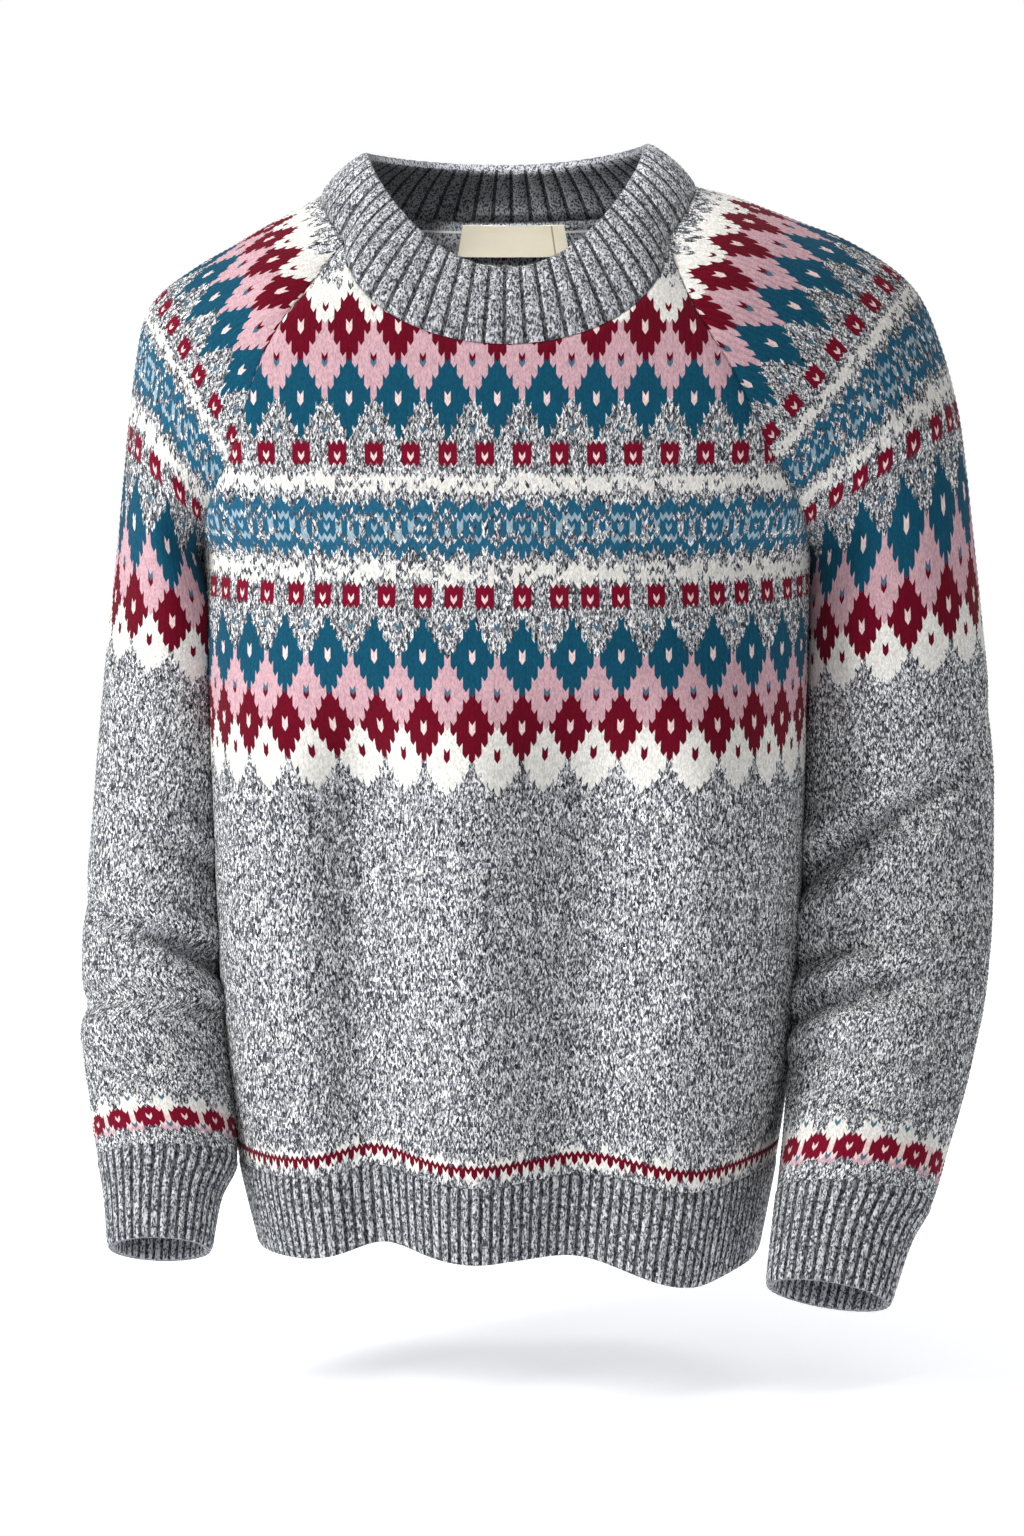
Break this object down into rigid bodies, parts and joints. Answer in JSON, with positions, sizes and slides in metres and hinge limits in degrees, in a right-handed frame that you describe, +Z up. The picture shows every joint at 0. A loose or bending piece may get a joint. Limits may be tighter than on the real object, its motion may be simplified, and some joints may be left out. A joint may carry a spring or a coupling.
{
  "type": "raglan pullover",
  "caption": "Marled grey knitted raglan pullover with a burgundy, blue, pink and cream Fair Isle yoke and sleeves, ribbed crew neck, hem and cuffs, filled out.",
  "frame": {"origin": "middle of the line between the two shoulder tops, level with the neck seam at the sides", "axes": "+X to the wearer's left, -Y is the front, +Z up"},
  "size_m": [0.53, 0.2415, 0.6627],
  "materials": {
    "knit_fair_isle": "marled and patterned stocking stitch",
    "rib_marl": "marled rib",
    "label_cotton": "plain woven tape"
  },
  "bodies": {
    "root": {"front": "knit_fair_isle", "back": "knit_fair_isle", "sleeve_left": "knit_fair_isle", "sleeve_right": "knit_fair_isle", "neckband": "rib_marl", "hem_rib": "rib_marl", "cuff_left": "rib_marl", "cuff_right": "rib_marl", "neck_tape": "rib_marl", "label": "label_cotton"}
  },
  "joints": []
}
